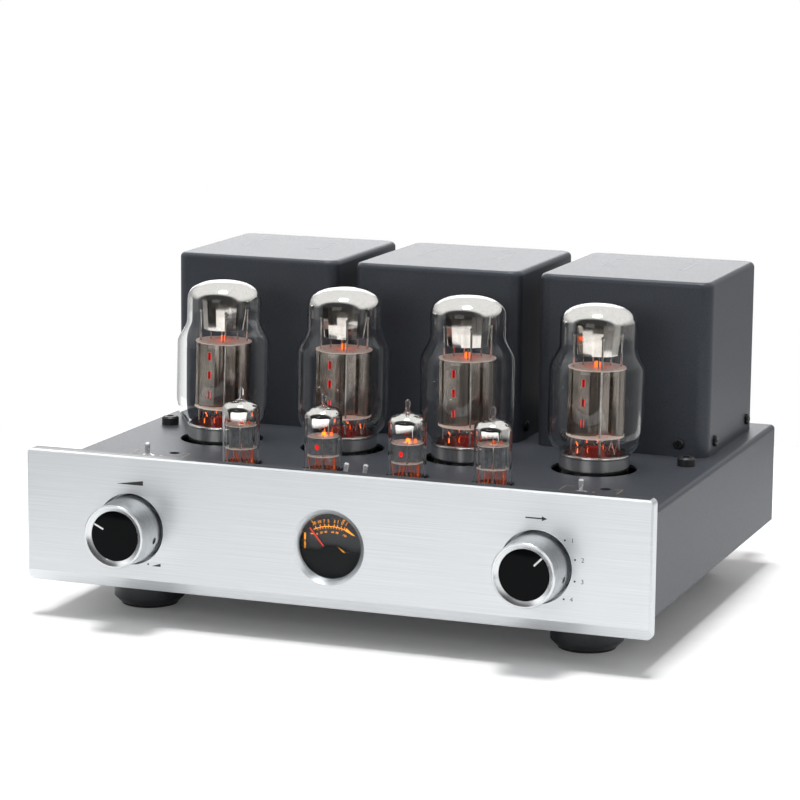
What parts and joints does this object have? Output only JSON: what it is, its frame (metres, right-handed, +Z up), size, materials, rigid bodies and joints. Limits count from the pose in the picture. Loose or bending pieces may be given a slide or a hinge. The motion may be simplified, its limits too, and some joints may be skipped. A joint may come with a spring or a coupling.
{
  "type": "tube integrated amplifier",
  "caption": "Low metal box with a thick brushed front panel, knobs and a round meter, glass tubes in rows on its top plate and boxy transformer covers behind them.",
  "frame": {"origin": "on the floor under the middle of the footprint, counted over knobs and rear posts", "axes": "+X to the right seen from the front, +Y to the rear, +Z up"},
  "size_m": [0.36, 0.3294, 0.185],
  "materials": {
    "case_paint": "fine charcoal powder coat",
    "cover_paint": "fine charcoal powder coat",
    "panel_metal": "brushed along its length, clear anodised",
    "knob_metal": "satin turned",
    "plain_steel": "zinc plated",
    "black_steel": "black oxide",
    "core_iron": "varnished sheet stack",
    "coil_copper": "enamelled wire under tape",
    "board_laminate": "solder mask",
    "socket_ceramic": "unglazed white",
    "yellow_brass": "plain",
    "component_black": "sleeved",
    "gloss_black": "polished",
    "matt_black": "fine moulded grain",
    "dial_print": "black dial with an orange lit scale",
    "needle_red": "red lacquer",
    "clear_glass": "clear",
    "bright_plate": "nickel plate",
    "gold_plate": "gold plate",
    "cap_red": "moulded",
    "foot_black": "moulded, rubber pad below",
    "tube_metal": "nickel base and grey plates"
  },
  "bodies": {
    "case": {"chassis_case": "case_paint", "bottom_plate": "case_paint", "front_panel": "panel_metal", "transformer_cover_left": "cover_paint", "transformer_cover_centre": "cover_paint", "transformer_cover_right": "cover_paint", "cover_brackets": "plain_steel", "cover_screws": "black_steel", "transformer_cores": "core_iron", "transformer_coils": "coil_copper", "transformer_bolts": "plain_steel", "circuit_board": "board_laminate", "tube_sockets": "socket_ceramic", "board_standoffs": "yellow_brass", "board_components": "component_black", "volume_potentiometer": "plain_steel", "selector_switch": "plain_steel", "meter_housing": "gloss_black", "meter_dial": "dial_print", "meter_mask": "gloss_black", "meter_lens": "clear_glass", "meter_movement": "yellow_brass", "toggle_switch_bodies": "bright_plate", "power_switch_body": "matt_black", "mains_inlet": "matt_black", "speaker_posts": "gold_plate", "speaker_caps_red": "cap_red", "speaker_caps_black": "gloss_black", "line_jacks": "gold_plate", "feet": "foot_black", "case_screws": "plain_steel", "cage_sockets": "matt_black"},
    "volume_control": {"volume_knob": "knob_metal", "volume_knob_face": "gloss_black", "volume_shaft": "plain_steel"},
    "selector_control": {"selector_knob": "knob_metal", "selector_knob_face": "gloss_black", "selector_shaft": "plain_steel"},
    "needle": {"meter_needle": "needle_red"},
    "left_bias_lever": {"bias_toggle_left": "bright_plate"},
    "right_bias_lever": {"bias_toggle_right": "bright_plate"},
    "mode_lever": {"mode_toggle": "bright_plate"},
    "meter_lever": {"meter_toggle": "bright_plate"},
    "rocker": {"power_rocker": "gloss_black"},
    "power_tube_1": {"power_tube_1": "tube_metal", "power_tube_1_glass": "clear_glass"},
    "power_tube_2": {"power_tube_2": "tube_metal", "power_tube_2_glass": "clear_glass"},
    "power_tube_3": {"power_tube_3": "tube_metal", "power_tube_3_glass": "clear_glass"},
    "power_tube_4": {"power_tube_4": "tube_metal", "power_tube_4_glass": "clear_glass"},
    "small_tube_1": {"small_tube_1": "tube_metal", "small_tube_1_glass": "clear_glass"},
    "small_tube_2": {"small_tube_2": "tube_metal", "small_tube_2_glass": "clear_glass"},
    "small_tube_3": {"small_tube_3": "tube_metal", "small_tube_3_glass": "clear_glass"},
    "small_tube_4": {"small_tube_4": "tube_metal", "small_tube_4_glass": "clear_glass"}
  },
  "joints": [
    {"name": "volume_turn", "type": "hinge", "parent": "case", "child": "volume_control", "pos_m": [-0.117, -0.14325, 0.0543], "axis": [0, 1, 0], "range_deg": [-86, 214]},
    {"name": "selector_turn", "type": "hinge", "parent": "case", "child": "selector_control", "pos_m": [0.117, -0.14325, 0.0543], "axis": [0, 1, 0], "range_deg": [0, 90]},
    {"name": "needle_swing", "type": "hinge", "parent": "case", "child": "needle", "pos_m": [0, -0.13575, 0.0469], "axis": [0, 1, 0], "range_deg": [0, 82], "stiffness_Nm_per_rad": 0.0005},
    {"name": "left_bias_tilt", "type": "hinge", "parent": "case", "child": "left_bias_lever", "pos_m": [-0.1273, -0.09825, 0.083], "axis": [0, 1, 0], "range_deg": [-12, 12]},
    {"name": "right_bias_tilt", "type": "hinge", "parent": "case", "child": "right_bias_lever", "pos_m": [0.1273, -0.09825, 0.083], "axis": [0, 1, 0], "range_deg": [-12, 12]},
    {"name": "mode_tilt", "type": "hinge", "parent": "case", "child": "mode_lever", "pos_m": [-0.0056, -0.10625, 0.083], "axis": [0, 1, 0], "range_deg": [-20, 0]},
    {"name": "meter_tilt", "type": "hinge", "parent": "case", "child": "meter_lever", "pos_m": [0.0056, -0.10625, 0.083], "axis": [0, 1, 0], "range_deg": [-20, 0]},
    {"name": "rocker_tilt", "type": "hinge", "parent": "case", "child": "rocker", "pos_m": [-0.174, -0.10525, 0.06], "axis": [0, 0, 1], "range_deg": [-20, 0]},
    {"name": "power_tube_1_lift", "type": "slide", "parent": "case", "child": "power_tube_1", "axis": [0, 0, 1], "range_m": [0, 0.02]},
    {"name": "power_tube_2_lift", "type": "slide", "parent": "case", "child": "power_tube_2", "axis": [0, 0, 1], "range_m": [0, 0.02]},
    {"name": "power_tube_3_lift", "type": "slide", "parent": "case", "child": "power_tube_3", "axis": [0, 0, 1], "range_m": [0, 0.02]},
    {"name": "power_tube_4_lift", "type": "slide", "parent": "case", "child": "power_tube_4", "axis": [0, 0, 1], "range_m": [0, 0.02]},
    {"name": "small_tube_1_lift", "type": "slide", "parent": "case", "child": "small_tube_1", "axis": [0, 0, 1], "range_m": [0, 0.01]},
    {"name": "small_tube_2_lift", "type": "slide", "parent": "case", "child": "small_tube_2", "axis": [0, 0, 1], "range_m": [0, 0.01]},
    {"name": "small_tube_3_lift", "type": "slide", "parent": "case", "child": "small_tube_3", "axis": [0, 0, 1], "range_m": [0, 0.01]},
    {"name": "small_tube_4_lift", "type": "slide", "parent": "case", "child": "small_tube_4", "axis": [0, 0, 1], "range_m": [0, 0.01]}
  ]
}
